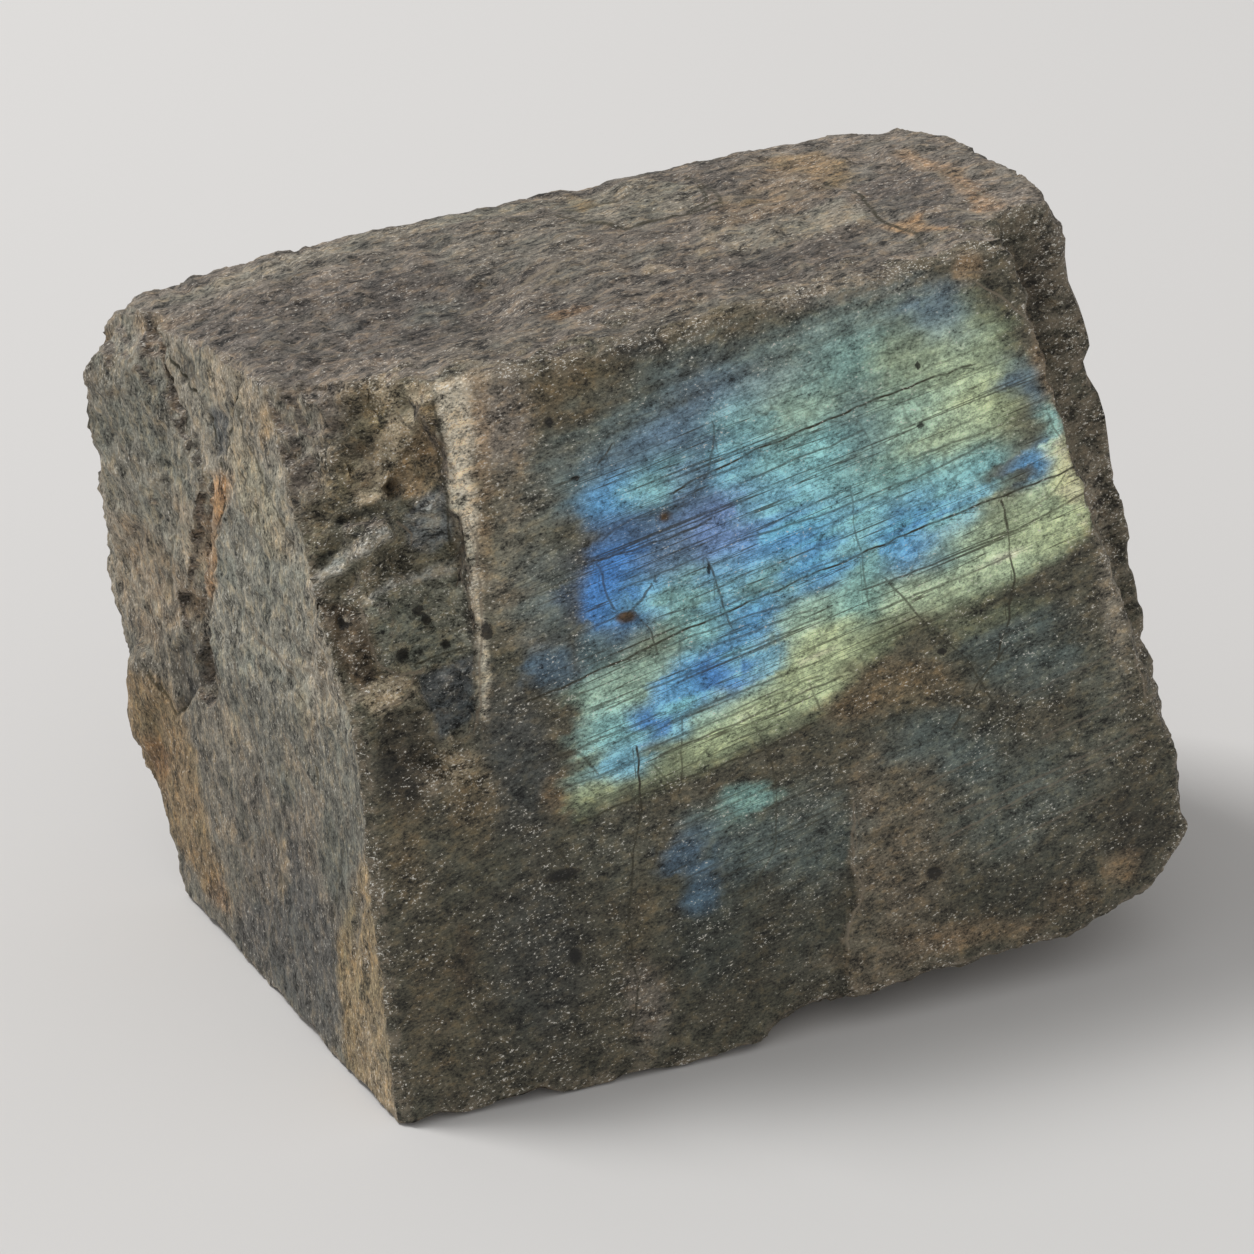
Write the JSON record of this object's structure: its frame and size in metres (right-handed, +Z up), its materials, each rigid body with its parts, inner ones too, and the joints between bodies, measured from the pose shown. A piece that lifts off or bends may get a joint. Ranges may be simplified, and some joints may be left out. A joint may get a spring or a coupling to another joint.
{
  "type": "rough labradorite chunk",
  "caption": "Rough block of grey-green feldspar with one broad leaning cleavage face that flashes blue and green, rough broken sides and a flat base to stand on.",
  "frame": {"origin": "middle of the bounding box, at the level of the flat base", "axes": "+X along the longest side, to the right as the cleavage face is looked at; -Y is the side that the leaning cleavage face looks towards; +Z up"},
  "size_m": [0.0995, 0.0662, 0.0745],
  "materials": {
    "labradorite": "rough broken stone, glossy on the cleavage face"
  },
  "bodies": {
    "root": {"labradorite_chunk": "labradorite"}
  },
  "joints": []
}
